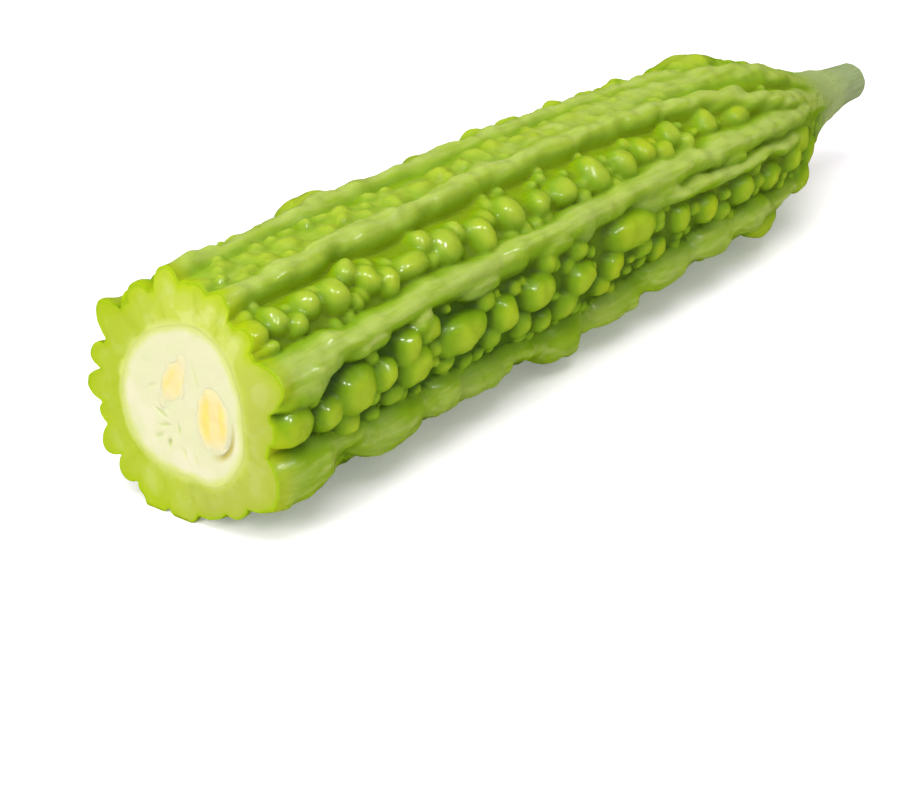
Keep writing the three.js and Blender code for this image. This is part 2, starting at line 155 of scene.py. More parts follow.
# A ridge's angle, its height as a share of the groove's depth, its half width and its skew change
# along the gourd, in [along, value] pairs. Lobes are written as the warts below are.
ridges = [
    {  # on the top, towards -Y
        "path": [
            [0, 22], [40, 21], [110, 20], [150, 23], [163, 27], [174, 32], [187, 43], [202, 51], [225, 56],
            [246, 60],
        ],
        "strength": [
            [0, 0.86], [20, 0.98], [60, 1], [100, 1.04], [150, 0.98], [205, 0.9], [235, 0.6], [246, 0.35],
        ],
        "width": [[0, 3.8], [50, 4.6], [246, 4.2]],
        "skew": [[0, 0.1], [246, 0.1]],  # how much wider it is above its crest than below
    },
    {  # the strongest ridge
        "path": [
            [0, 68], [12, 66.5], [26, 63.5], [45, 62.5], [60, 63], [100, 63], [150, 61.5], [180, 62],
            [208, 64], [246, 72],
        ],
        "strength": [
            [0, 1.08], [25, 1.02], [60, 0.98], [110, 1.02], [150, 1], [205, 0.95], [235, 0.7], [246, 0.45],
        ],
        "width": [[0, 6], [14, 5.6], [26, 4.3], [40, 4.2], [60, 4.8], [120, 4.8], [180, 4.6], [246, 4]],
        "skew": [[0, 0.15], [25, 0], [60, 0.1], [85, -0.25], [105, -0.1], [130, 0.15], [246, 0.15]],
        "lobes": [
            [8, 73.5, 9, 4.8, 4.4], [29, 68.5, 8, 3.5, 3.8], [45.5, 71.5, 4.2, 4.4, 3.7],
            [66, 69, 7, 3.4, 3.7], [92, 68.5, 7.5, 3.6, 3.7], [137, 67.5, 7, 3.6, 3.6],
            [169, 67.5, 7, 3.6, 3.5],
        ],
    },
    {  # a late branch beside the strongest ridge
        "path": [[122, 70], [140, 72], [155, 75], [180, 76.5], [207, 76]],
        "strength": [[118, 0], [130, 0.7], [140, 0.95], [175, 0.95], [200, 0.7], [214, 0]],
        "width": [[118, 2.6], [140, 3.4], [214, 3]],
    },
    {  # low down, a chain of long bulges with necks between them, and a hook where it ends
        "path": [
            [0, 118], [10, 120], [21, 114], [34, 119.5], [53, 119], [64, 123], [80, 124], [99, 133],
            [116, 126], [140, 119], [165, 114], [246, 118],
        ],
        "strength": [
            [0, 0.84], [30, 0.84], [80, 0.95], [105, 1.2], [120, 1.2], [180, 1.2], [205, 0.9], [240, 0.4],
            [246, 0.2],
        ],
        "width": [[0, 4.6], [60, 4.4], [105, 5], [150, 4.2], [246, 4]],
        "skew": [[0, -0.25], [246, -0.25]],
        "lobes": [
            [8, 120, 14, 8.2, 6.6], [37, 123.5, 12, 6.8, 6.4], [53, 121.5, 8, 6, 5.6], [68, 124, 13, 5, 5.6],
            [99, 133, 10, 6.4, 7.4], [119, 126, 12, 5, 6.5], [139, 119.5, 12, 5, 6.5],
            [159, 115.5, 11, 5, 6.5], [177, 115, 11, 4.8, 6.2],
        ],
        "plain": True,
    },
    swayingRidge(160, -0.6, 6, 0.35),
    swayingRidge(200, 0.6, 6),
    swayingRidge(234, 2, 4.2),
    swayingRidge(263, -2, 4.2),
    swayingRidge(299, 1.5, 4.8),
    {  # on the top, towards +Y
        "path": [
            [0, 348], [60, 345], [120, 346], [150, 350], [165, 356], [185, 371], [196, 378], [211, 388],
            [246, 400],
        ],
        "strength": [
            [0, 1], [20, 0.88], [50, 1], [80, 0.8], [110, 0.88], [150, 0.88], [190, 0.82], [205, 0.75],
            [235, 0.5], [246, 0.35],
        ],
        "width": [[0, 4.6], [50, 5], [150, 4.6], [246, 4]],
    },
    bank(7, 9, 0.5),
]

# Each wart is along, angle, half length, half width and height.
warts = [
    # below the top ridge
    [2.5, 42, 3.2, 3.4, 3], [9, 40, 3.3, 3.7, 3.4], [13.5, 47, 3, 3.2, 2.8], [4.5, 51.5, 2.6, 1.7, 1.8],
    [18.5, 40, 4.3, 3.9, 3.6], [26.5, 42, 3.8, 4.8, 3.7], [31, 50, 1.9, 2.2, 1.9], [33, 35.5, 3.4, 3, 3.3],
    [37, 42, 3, 3.4, 3.4], [41.5, 47, 2.8, 4, 3.1], [49, 45, 6.2, 3.6, 3.4], [55.5, 37, 3.4, 3.8, 3.5],
    [61, 44.5, 4.6, 4.6, 3.6], [66.5, 40, 3, 3, 2.8], [72, 48, 4, 5.4, 3.7], [76.5, 40, 3, 3, 2.7],
    [84, 43, 4.6, 5, 3.7], [85.5, 53.5, 2.7, 2.4, 2.4], [90, 54, 2.4, 2.2, 2.3], [94.5, 54, 2.4, 2.2, 2.2],
    [94, 44.5, 3.6, 3.8, 3.5], [103, 44.5, 4.8, 4.2, 3.6], [109, 52, 2.8, 2.4, 2.3],
    [116, 42.5, 4.8, 5.8, 3.8], [120, 53, 2.6, 2.2, 2.2], [127.5, 44.5, 4, 4.6, 3.5],
    [137, 42.5, 4, 4.8, 3.5], [143.5, 48, 3.6, 3.6, 3.2], [149.5, 40, 4, 4, 3.2],
    [153, 48.5, 2.8, 3, 2.8], [164.5, 42, 4.2, 4.6, 3.5], [178, 46, 5, 3.4, 2.9],
    # below the strongest ridge
    [5, 90, 5.6, 4.7, 4.2], [15.5, 94, 4.2, 4.2, 3.6], [10.5, 80, 2.6, 1.8, 1.8], [23.5, 88.5, 6.4, 6, 4.2],
    [22, 103.5, 3.6, 3.2, 2.8], [32.5, 88.5, 3.6, 4, 3.5], [36, 103, 3.4, 2.6, 2.5], [40, 81, 4, 5, 3.8],
    [42.5, 93, 5.2, 5, 3.9], [47, 77.5, 3.8, 3.6, 3.4], [57.5, 88, 8.4, 4.8, 4.3], [53, 101, 3.2, 2.6, 2.4],
    [66.5, 79, 3.6, 2.6, 2.5], [68.5, 101, 3.2, 3, 2.6], [72, 90, 4.6, 5, 3.9], [79.5, 103, 3.6, 3.4, 3],
    [84.5, 88, 6.4, 4.6, 3.9], [89, 75, 3.8, 3.2, 3], [87.5, 108, 3.2, 3.4, 2.9], [96, 106, 4.6, 4.6, 3.4],
    [100.5, 76, 3.8, 3, 2.8], [100.5, 92.5, 5, 4.8, 4], [111, 107, 3.6, 3.2, 2.6], [114, 96, 4.2, 4, 3.5],
    [122, 81, 11.5, 5, 4.2], [127, 95, 3.4, 3.2, 2.7], [134, 103, 3.6, 3.2, 2.7], [142.5, 88, 4.8, 4.2, 3.4],
    [155, 92, 4.6, 4.4, 3.6], [163, 101, 3.4, 2.8, 2.5], [171.5, 91.5, 5, 4.4, 3.6], [186, 94, 4.8, 4, 3.4],
    [198, 90, 5, 4.4, 3.6],
    # along the top
    [1.5, 8, 3, 3, 3.2], [11, 2, 4.4, 3.2, 3.2], [13, 12, 3.4, 2.4, 2.4], [20, 10, 3.6, 3, 2.8],
    [28, 6, 4, 3.6, 3.2], [32.5, 12, 3, 2.4, 2.5], [40, 8, 4.8, 3.2, 2.9], [47, 2, 4, 3.2, 3],
    [50.5, 11, 3.4, 3, 2.7], [60, 10, 4.2, 3.2, 2.8], [69.5, 8, 4.4, 3.4, 3],
    # lobes at the shoulder
    [193, 330, 14.5, 8, 4.3], [186, 352, 10, 7, 4.4], [189, 131, 8, 5.6, 6.8], [208, 115.5, 6.5, 4.6, 6],
    [204, 80, 8, 4.5, 3.6], [214, 100, 7, 4.4, 3.8],
    # in the upper row on the +Y side
    [52, 326, 11, 5, 5], [90, 325, 4.6, 4.4, 3.6], [110.5, 325, 4, 4.2, 4.3], [123, 326, 4.2, 4.4, 4.3],
    [142, 326, 4.8, 4.4, 4.1], [153, 325, 3.6, 4, 3.6], [168, 326, 4.6, 4.2, 3.8],
    # on the other ridges, where the cut edge bulges out
    [1, 327, 3, 3.4, 2.4], [0.5, 279, 3, 3, 3.2], [0, 248, 3, 2.6, 2.2], [1.5, 218, 4, 3.6, 4.4],
    [0.5, 180, 4, 4.4, 3.4], [0, 141, 4, 3.8, 2.6],
]

# Rows that fill the space between two ridges, one wart wide unless columns says otherwise,
# and centred on an angle. Another seed gives a row other sizes and places.
wartRows = [
    {"angle": 3, "spread": 10, "from": 78, "to": 150, "height": 3, "size": 3.6, "seed": 11},
    {"angle": 139, "spread": 8, "from": 8, "to": 205, "height": 3.5, "size": 4.2, "seed": 23},
    {"angle": 180, "spread": 6.4, "from": 8, "to": 205, "height": 1.9, "size": 4.2, "seed": 37},
    {"angle": 218, "spread": 4.8, "from": 9, "to": 215, "height": 3.3, "size": 3.6, "seed": 41},
    {"angle": 249, "spread": 4.8, "from": 7, "to": 215, "height": 3, "size": 3.4, "seed": 53},
    {"angle": 281, "spread": 6.4, "from": 7, "to": 215, "height": 3.4, "size": 4, "seed": 67},
    {"angle": 323, "spread": 13, "columns": 2, "from": 8, "to": 168, "height": 3, "size": 3.7, "seed": 79},
    {
        "angle": 100, "spread": 13, "columns": 2, "from": 206, "to": 232, "height": 2.6, "size": 3.6,
        "seed": 83,
    },
    {
        "angle": 6, "spread": 14, "columns": 2, "apart": 9, "from": 3, "to": 160, "height": 2.9,
        "size": 2.5, "seed": 97,
    },
    {
        "angle": 328, "spread": 14, "columns": 2, "apart": 12, "from": 3, "to": 180, "height": 2.5,
        "size": 2.4, "seed": 101,
    },
]
rowShape = {
    "step": 1.9,  # from one wart to the next, in sizes
    "apart": 17,  # degrees between two columns where the row doesn't say
    "twistStart": 150,  # past here the rows drift round with the ridges
    "twistRate": 0.25,
}


def chance(seed, index):  # a repeatable number between 0 and 1
    wave = math.sin(seed * 12.9898 + index * 78.233) * 43758.5453
    return wave - math.floor(wave)


def rowOfWarts(row):
    made = []
    step = row["size"] * rowShape["step"]
    columns = row.get("columns", 1)
    for column in range(columns):  # two columns are staggered
        side = column - 0.5 if columns == 2 else 0
        seed = row["seed"] + column
        along = row["from"] + column * step * 0.5
        index = 0
        while along < row["to"]:
            size = row["size"] * (0.7 + 0.5 * chance(seed, 5 * index))
            sway = (chance(seed, 5 * index + 1) - 0.5) * row["spread"]
            drift = max(0, along - rowShape["twistStart"]) * rowShape["twistRate"]
            height = row["height"] * (0.8 + 0.34 * chance(seed, 5 * index + 2))
            slim = 0.9 + 0.3 * chance(seed, 5 * index + 3)
            angle = row["angle"] + side * row.get("apart", rowShape["apart"]) + sway + drift
            made.append([along, angle, size * slim, size / slim, height])
            along += step * (0.9 + 0.24 * chance(seed, 5 * index + 4))
            index += 1
    return made


for row in wartRows:
    warts += rowOfWarts(row)


def through(knots, position):  # a smooth curve through [position, value] pairs, level at both ends
    places, values = np.array(knots, float).T
    spans = np.diff(places)
    rates = np.diff(values) / spans
    slopes = np.zeros(len(places))
    for i in range(1, len(rates)):
        if rates[i - 1] * rates[i] > 0:
            slopes[i] = 2 * rates[i - 1] * rates[i] / (rates[i - 1] + rates[i])
    spot = np.clip(position, places[0], places[-1])
    k = np.clip(np.searchsorted(places, spot, side="right") - 1, 0, len(spans) - 1)
    t = (spot - places[k]) / spans[k]
    rise = rates[k] * spans[k]
    bend = t * (1 - t) * ((1 - t) * (slopes[k] * spans[k] - rise) - t * (slopes[k + 1] * spans[k] - rise))
    return values[k] + rise * t + bend


def wrapped(angle):
    return angle - 360 * np.round(angle / 360)


def ripples(places, size, seed, waves=14):  # smooth bumps about as large as size, between -1 and 1
    draw = np.random.default_rng(seed)
    total = 0
    for _ in range(waves):
        direction = draw.normal(size=places.shape[-1])
        direction *= draw.uniform(0.6, 1.5) * math.pi / size / np.linalg.norm(direction)
        total = total + np.sin(places @ direction + draw.uniform(0, 2 * math.pi))
    return total * math.sqrt(2 / waves) / 2


def dome(squaredDistance, roundness):
    return np.clip(1 - squaredDistance, 0, None) ** roundness


def crestAt(along):  # from the axis to the ridge tops
    return skin["crestRadius"] * through(skin["crestProfile"], along)


def unrolled(along, angle):  # the skin as a flat sheet for noise, whose edges meet below
    return np.stack([along, wrapped(angle) * skin["degreeWidth"]], -1)


# A ridge is a chain of long lumps on a low bank, unless it is plain. Each pair is the least and the most.
lumpShape = {
    "start": [-3, 1],
    "halfLength": [7, 13],
    "sway": [-1, 1],
    "width": [0.5, 0.8],  # share of the ridge's width
    "height": [0.86, 1],  # share of the ridge's height
    "step": [0.8, 1.1],  # to the next lump, in half lengths
}


def lumpsOf(ridge, seed):
    draw = np.random.default_rng(seed)
    lumps = []
    along = draw.uniform(*lumpShape["start"])
    while along < skin["length"]:
        size = draw.uniform(*lumpShape["halfLength"])
        aside = draw.uniform(*lumpShape["sway"]) / (math.radians(1) * crestAt(along))
        angle = through(ridge["path"], along) + aside
        width = through(ridge["width"], along) * draw.uniform(*lumpShape["width"])
        height = skin["grooveDepth"] * through(ridge["strength"], along) * draw.uniform(*lumpShape["height"])
        lumps.append([along, angle, size, width, height])
        along += size * draw.uniform(*lumpShape["step"])
    return lumps


crestLumps = []
for number, ridge in enumerate(ridges):
    crestLumps += ridge.get("lobes", [])
    if "plain" not in ridge:
        crestLumps += lumpsOf(ridge, 60 + number)


# Height over the bottom of the grooves, the ridges' share of it, and how close each place is to the middle
# of its wart, or to the painted highlight line a little above its ridge's crest, from 0 to 1.
def skinHeight(along, angle, extra=()):
    arc = math.radians(1) * crestAt(along)
    sheet = unrolled(along, angle)
    sway = ripples(sheet, 7, 3)
    wave = ripples(sheet, 8, 5)
    roundness = through(skin["ridgeRoundness"], along)
    ridgeSum = np.zeros_like(along)
    middleSum = np.zeros_like(along)
    for ridge in ridges:
        width = through(ridge["width"], along) * (0.95 + 0.1 * sway)
        offset = (wrapped(angle - through(ridge["path"], along)) * arc + 0.8 * wave) / width
        offset = offset / (1 - through(ridge.get("skew", [[0, 0], [1, 0]]), along) * np.tanh(2 * offset))
        top = skin["grooveDepth"] * through(ridge["strength"], along) * (0.84 + 0.05 * sway)
        part = (dome(offset ** 2, roundness) * top) ** skin["crease"]
        ridgeSum += part
        # a ridge's middle is lifted towards the top, where its painted crest highlight runs
        middleSum += part * dome((offset + skin["lift"] * np.sin(np.radians(angle))) ** 2, 1)
    lumpSum = np.zeros_like(along)
    wartSum = np.zeros_like(along)
    for number, (place, direction, halfLength, halfWidth, top) in enumerate([*crestLumps, *warts, *extra]):
        near = np.abs(along - place) < halfLength + skin["swell"]
        forward = (along[near] - place + 0.5 * sway[near]) / (halfLength + skin["swell"])
        aside = wrapped(angle[near] - direction) * arc[near] + 0.5 * wave[near]
        sideways = aside / (halfWidth + skin["swell"])
        distance = np.abs(forward) ** skin["squareness"] + np.abs(sideways) ** skin["squareness"]
        distance = distance ** (2 / skin["squareness"])
        part = (dome(distance, skin["wartRoundness"]) * top) ** skin["crease"]
        if number < len(crestLumps):
            lumpSum[near] += part
            # a lobe's middle is lifted the same way, for the painted crest highlight
            lift = skin["lift"] * math.sin(math.radians(direction))
            middleSum[near] += part * dome((sideways + lift) ** 2, 1)
        else:
            wartSum[near] += part
            middleSum[near] += part * dome(distance, 1)
    total = ridgeSum + lumpSum + wartSum
    level = np.maximum(total, 1e-9)
    return total ** (1 / skin["crease"]), (ridgeSum + lumpSum) / level, middleSum / level


# The skin's height with its unevenness, and the ridges' share and the closeness to a middle as above.
def skinDetail(along, angle):
    height, ridgeShare, middle = skinHeight(along, angle, fillers)
    sheet = unrolled(along, angle)
    wrinkles = ripples(sheet * [0.2, 1], 1.3, 6, 24)  # fine lines along the ridges
    uneven = 0.4 * ripples(sheet, 4.5, 7, 24) + 0.16 * ripples(sheet, 2.1, 8, 30)
    uneven = uneven + 0.2 * wrinkles * ridgeShare
    return height + uneven * np.clip(height / 2, 0.2, 1), ridgeShare, middle


def coreRadius(along, angle):
    return core["radius"] * through(core["outline"], wrapped(angle)) * through(core["taper"], along)


def placed(along, angle, radius):  # near the cut the body leans with the cut face
    turn = np.radians(angle)
    rise = radius * np.cos(turn)
    fade = np.maximum(0, 1 - along / skin["cutLeanReach"]) ** 2
    x = cutX + along + math.tan(math.radians(skin["cutLean"])) * rise * fade
    z = skin["restHeight"] * through(skin["axisProfile"], along) + rise
    return np.stack([x, axisY - radius * np.sin(turn), z], -1)


def sunk(along, height):  # how far a place lies below the ridge tops; the relief fades towards the stem
    beforeStem = np.clip((skin["length"] - along) / skin["fadeReach"], 0, 1)
    fade = skin["endRelief"] + (1 - skin["endRelief"]) * beforeStem
    return (skin["grooveDepth"] - height) * through(skin["crestProfile"], along) * fade


def skinPoints(along, angle, height):
    points = placed(along, angle, crestAt(along) - sunk(along, height))
    points[..., 2] = np.maximum(points[..., 2], 0)  # flattened where it rests
    return points


# Small beads in the hollows that the rows leave empty.
beadShape = {
    "from": 3,
    "to": 236,
    "step": 5.2,  # mm between two places that are tried
    "turn": 9,  # degrees between them
    "sway": 1.4,
    "turnSway": 3,
    "hollow": 0.4,  # a place is empty where the skin is lower than this
    "size": [1.3, 2.3],
    "slim": [0.85, 1.1],
}


def fillerBeads():
    draw = np.random.default_rng(17)
    sway, turnSway = beadShape["sway"], beadShape["turnSway"]
    found = []
    for along in np.arange(beadShape["from"], beadShape["to"], beadShape["step"]):
        for angle in np.arange(0, 360, beadShape["turn"]):
            found.append([along + draw.uniform(-sway, sway), angle + draw.uniform(-turnSway, turnSway)])
    spots = np.array(found)
    height = skinHeight(spots[:, 0], spots[:, 1])[0]
    beads = []
    for (along, angle), here in zip(spots, height):
        if here > beadShape["hollow"]:
            continue
        size = draw.uniform(*beadShape["size"])
        beads.append([along, angle, size, size * draw.uniform(*beadShape["slim"]), 0.65 * size + 0.3])
    return beads


fillers = fillerBeads()
print(len(warts), "warts and", len(fillers), "small beads")


# Grid points drift towards the steep sides of ridges and warts, so that faces there
# are not much longer than those on the smooth stretches.
def relaxedGrid(around, lengthwise, rounds):
    # a table of heights, so that they aren't worked out anew in each round
    perMillimetre, stepDegrees = 2, 0.6
    tableAlong = np.linspace(0, skin["length"], perMillimetre * skin["length"] + 1)
    tableAngle = np.arange(0, 360, stepDegrees)
    table = skinHeight(*np.meshgrid(tableAlong, tableAngle, indexing="ij"))[0]
    along, angle = np.meshgrid(
        np.linspace(0, skin["length"], lengthwise + 1), np.arange(around) * 360 / around, indexing="ij",
    )

    def lookUp(along, angle):
        row = np.clip(along * perMillimetre, 0, len(tableAlong) - 1.001)
        column = (angle % 360) / stepDegrees
        i, j = row.astype(int), column.astype(int) % len(tableAngle)
        k = (j + 1) % len(tableAngle)
        down, across = row - i, column - np.floor(column)
        near = table[i, j] * (1 - across) + table[i, k] * across
        far = table[i + 1, j] * (1 - across) + table[i + 1, k] * across
        return near * (1 - down) + far * down

    for _ in range(rounds):
        points = skinPoints(along, angle, lookUp(along, angle))
        total, drift, turn = 1e-9, 0, 0
        for axis, step in ((1, 1), (1, -1), (0, 1), (0, -1)):
            reach = np.linalg.norm(np.roll(points, step, axis) - points, axis=-1)
            if axis == 0:
                reach[[0, -1]] = 0
            total = total + reach
            drift = drift + reach * (np.roll(along, step, axis) - along)
            turn = turn + reach * wrapped(np.roll(angle, step, axis) - angle)
        along = along + 0.5 * drift / total
        angle = angle + 0.5 * turn / total
    return along, angle


def closedTube(rings):  # quads between rings of points, and a fan to a middle point at each end
    rows, around = rings.shape[:2]
    i, j = np.meshgrid(np.arange(rows - 1), np.arange(around), indexing="ij")
    k = (j + 1) % around
    corners = [i * around + j, i * around + k, (i + 1) * around + k, (i + 1) * around + j]
    faces = np.stack(corners, -1).reshape(-1, 4).tolist()
    count = rows * around
    faces += [[j, (j - 1) % around, count] for j in reversed(range(around))]
    last = count - around
    faces += [[last + j, last + (j + 1) % around, count + 1] for j in range(around)]
    points = np.concatenate([rings.reshape(-1, 3), [rings[0].mean(0), rings[-1].mean(0)]])
    return points, faces


def makePiece(name, points, faces, finish, node, values, flatFan=None):
    mesh = bpy.data.meshes.new(name)
    mesh.from_pydata((points / 1000).tolist(), [], faces)
    for key, numbers in values.items():
        layer = mesh.attributes.new(key, "FLOAT", "POINT")
        layer.data.foreach_set("value", np.asarray(numbers, np.float32))
    mesh.validate()
    mesh.shade_smooth()
    for face in mesh.polygons:  # a fan that touches another piece is flat, so its rim shows no bright line
        if face.vertices[-1] == flatFan:
            face.use_smooth = False
    mesh.materials.append(finish)
    piece = bpy.data.objects.new(name, mesh)
    bpy.context.scene.collection.objects.link(piece)
    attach(piece, "root")
    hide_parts(node)
    return piece


class Wire:  # an output socket that can stand in a sum
    def __init__(self, finish, socket):
        self.finish = finish
        self.socket = socket

    def maths(self, operation, first, second):
        return self.finish.node("Math", {"operation": operation}, {0: first, 1: second})

    def __add__(self, other):
        return self.maths("ADD", self, other)

    __radd__ = __add__

    def __sub__(self, other):
        return self.maths("SUBTRACT", self, other)

    def __rsub__(self, other):
        return self.maths("SUBTRACT", other, self)

    def __mul__(self, other):
        return self.maths("MULTIPLY", self, other)

    __rmul__ = __mul__


class Finish:
    def __init__(self, name):
        self.material = bpy.data.materials.new(name)
        self.material.use_nodes = True
        self.tree = self.material.node_tree
        self.tree.nodes.clear()
        self.place = self.node("TexCoord", output="Object")

    def node(self, kind, settings=None, sockets=None, output=0):
        made = self.tree.nodes.new("ShaderNode" + kind)
        for key, value in (settings or {}).items():
            setattr(made, key, value)
        for key, value in (sockets or {}).items():
            if isinstance(value, Wire):
                self.tree.links.new(value.socket, made.inputs[key])
            else:
                made.inputs[key].default_value = value
        return Wire(self, made.outputs[output])

    def value(self, key):  # a number kept at each point of the mesh
        return self.node("Attribute", {"attribute_name": key}, output="Fac")

    def mottle(self, size, detail=3, stretch=(1, 1, 1), place=None):  # noise with blobs about size mm across
        place = self.node("VectorMath", {"operation": "MULTIPLY"}, {0: place or self.place, 1: stretch})
        return self.node("TexNoise", {}, {"Vector": place, "Scale": 1000 / size, "Detail": detail})

    def ramp(self, wire, low, high):  # 0 at low, 1 at high, smooth between
        settings = {"interpolation_type": "SMOOTHSTEP", "clamp": True}
        return self.node("MapRange", settings, {"Value": wire, "From Min": low, "From Max": high})

    def mix(self, first, second, share):
        return self.node("Mix", {"data_type": "RGBA"}, {0: share, 6: first, 7: second}, 2)

    def surface(self, **sockets):
        named = {key.replace("_", " "): value for key, value in sockets.items()}
        shader = self.node("BsdfPrincipled", {}, named)
        end = self.tree.nodes.new("ShaderNodeOutputMaterial")
        self.tree.links.new(shader.socket, end.inputs["Surface"])
        return self.material


def colour(red, green, blue):  # from 0 to 255 as a screen shows them, to the shader's own scale
    levels = []
    for level in (red, green, blue):
        share = level / 255
        levels.append(share / 12.92 if share < 0.04045 else ((share + 0.055) / 1.055) ** 2.4)
    return (*levels, 1)


# several of these colours paint light and shade into the skin; each is marked where it is mixed in
skinLooks = {
    "groove": colour(60, 91, 2),
    "litGroove": colour(122, 148, 0),
    "flank": colour(109, 145, 4),
    "top": colour(143, 167, 26),
    "crestHighlight": colour(156, 173, 82),
    "litTop": colour(162, 177, 70),
    "limeGlow": colour(152, 167, 2),
    "greySheen": colour(138, 154, 78),
    "stemEnd": colour(142, 157, 95),
    "cutRim": colour(126, 152, 2),
    "cutOuter": colour(154, 174, 0),
    "cutFlesh": colour(164, 176, 62),
    "cutPale": colour(180, 188, 104),
    "cutInner": colour(178, 187, 98),
    "cutVeinsAndShade": colour(140, 158, 16),
    "cutSideShade": colour(142, 150, 58),
}


def cutTone(f, patches):  # depth is 0 at the rim of the cut face and 1 at the core
    looks = skinLooks
    depth, spokeY, spokeZ = f.value("depth"), f.value("spokeY"), f.value("spokeZ")
    clouds = f.mottle(7, 4)
    spokes = f.node("CombineXYZ", {}, {0: spokeY, 1: spokeZ, 2: depth * 0.002})
    veins = f.mottle(1.8, 3, place=spokes)
    tone = f.mix(looks["cutOuter"], looks["cutFlesh"], f.ramp(depth + (clouds - 0.5) * 0.8, 0.0, 0.45))
    tone = f.mix(tone, looks["cutPale"], f.ramp(f.mottle(5, 3), 0.45, 0.62) * f.ramp(depth, 0.1, 0.5) * 0.7)
    tone = f.mix(tone, looks["cutVeinsAndShade"], f.ramp(veins, 0.48, 0.72) * 0.5)
    # painted shade: the cut face is painted darker on its far side and on its underside
    farSide = f.ramp(spokeY + (clouds - 0.5) * 0.01, 0.002, -0.01)
    underSide = f.ramp(spokeZ + (clouds - 0.5) * 0.01, -0.003, -0.011)
    tone = f.mix(tone, looks["cutVeinsAndShade"], farSide * 0.7)
    tone = f.mix(tone, looks["cutVeinsAndShade"], underSide * 0.3)
    tone = f.mix(looks["cutRim"], tone, f.ramp(depth + (patches - 0.5) * 0.08, -0.03, 0.1))
    tone = f.mix(tone, looks["cutInner"], f.ramp(depth + (clouds - 0.5) * 0.3, 0.84, 1.02))
    # painted shade on the near side of the cut face, less of it close to the core
    nearSide = spokeY * 0.9 - spokeZ * 0.45 + (clouds - 0.5) * 0.006
    nearSide = f.ramp(nearSide, 0.001, 0.009) * (1 - 0.65 * f.ramp(depth, 0.72, 0.96))
    return f.mix(tone, looks["cutSideShade"], nearSide * 0.62)


def skinFinish():
    looks = skinLooks
    f = Finish("bitter_gourd_skin")
    relief, along, cut = f.value("relief"), f.value("along"), f.value("cut")
    ridge, middle, upper = f.value("ridge"), f.value("middle"), f.value("upper")
    patches = f.mottle(9)
    speckle = f.mottle(1.6)
    streaks = f.mottle(1.3, 3, (0.12, 1, 1))
    height = relief * 0.5 + middle * 0.5 + (patches - 0.5) * 0.2 + (speckle - 0.5) * 0.12
    # painted shade and light: the grooves are painted darker and the tops of ridges and warts lighter, and
    # the painted groove shade is lighter where the grooves face up and near the stem
    tone = f.mix(looks["groove"], looks["litGroove"], f.value("groovesLessShaded"))
    tone = f.mix(tone, looks["flank"], f.ramp(height, 0.05, 0.5))
    tone = f.mix(tone, looks["top"], f.ramp(height, 0.45, 0.9) * (1 - 0.6 * ridge))
    # painted light on the upper side
    tone = f.mix(tone, looks["litTop"], upper * f.ramp(height, 0.2, 0.8) * 0.4)
    # a painted highlight along each ridge's crest
    crest = f.ramp(middle + (streaks - 0.5) * 0.9, 0.58, 1.1) * f.ramp(relief, 0.3, 0.7) * ridge
    tone = f.mix(tone, looks["crestHighlight"], crest)
    # a painted grey sheen on the ridges' lower flanks, kept off the upper side
    greySheen = f.ramp(f.mottle(16, 2), 0.45, 0.65) * ridge * (1 - upper) * f.ramp(relief, 0.15, 0.5)
    tone = f.mix(tone, looks["greySheen"], greySheen * 0.35)
    # random lime patches, which also paint a glow on the middles of warts
    glowPatches = f.ramp(f.mottle(13, 2), 0.5, 0.64) * f.ramp(middle, 0.3, 0.8) * (1 - 0.8 * ridge)
    tone = f.mix(tone, looks["limeGlow"], glowPatches * (0.2 + 0.35 * f.ramp(along, 60, 130)))
    tone = f.mix(tone, looks["stemEnd"], f.ramp(along + (patches - 0.5) * 10, 222, 246))
    # a painted lime glow along the cut edge, where light shines through the skin
    tone = f.mix(tone, looks["limeGlow"], (1 - f.ramp(along, 0.3, 6)) * f.ramp(patches, 0.3, 0.6) * 0.85)
    fine = f.mottle(0.9, 2)
    waves = speckle * 0.5 + fine * 0.25 + streaks * ridge * 0.7
    bump = f.node("Bump", {}, {"Strength": 0.3, "Distance": 0.0004, "Height": waves})
    wax = f.ramp(relief, 0.25, 0.7) * (1 - 0.8 * f.ramp(along, 40, 150))
    wax = wax * (0.3 + 0.9 * f.ramp(f.mottle(0.8, 3), 0.42, 0.6))  # breaks up the glints
    return f.surface(
        Base_Color=f.mix(tone, cutTone(f, patches), cut),
        Roughness=0.62 - 0.24 * f.ramp(relief, 0.2, 0.7) + 0.1 * cut + 0.1 * (streaks - 0.5),
        Normal=bump,
        Subsurface_Weight=0.45,
        Subsurface_Radius=(0.9, 1.0, 0.15),
        Subsurface_Scale=0.0022,
        Specular_IOR_Level=0.12,
        Coat_Weight=wax * (0.78 - 0.65 * cut) * (1 - 0.4 * ridge),
        Coat_Roughness=0.2,
    )


def coreSides(angle, depth):  # rings along the side of the core, closest where it ends
    along = depth * np.sin(np.linspace(0.0003, math.pi / 2, core["sideRings"]))
    along = np.repeat(along[:, None], len(angle), 1)
    angle = np.repeat(angle[None], core["sideRings"], 0)
    return placed(along, angle, coreRadius(along, angle))


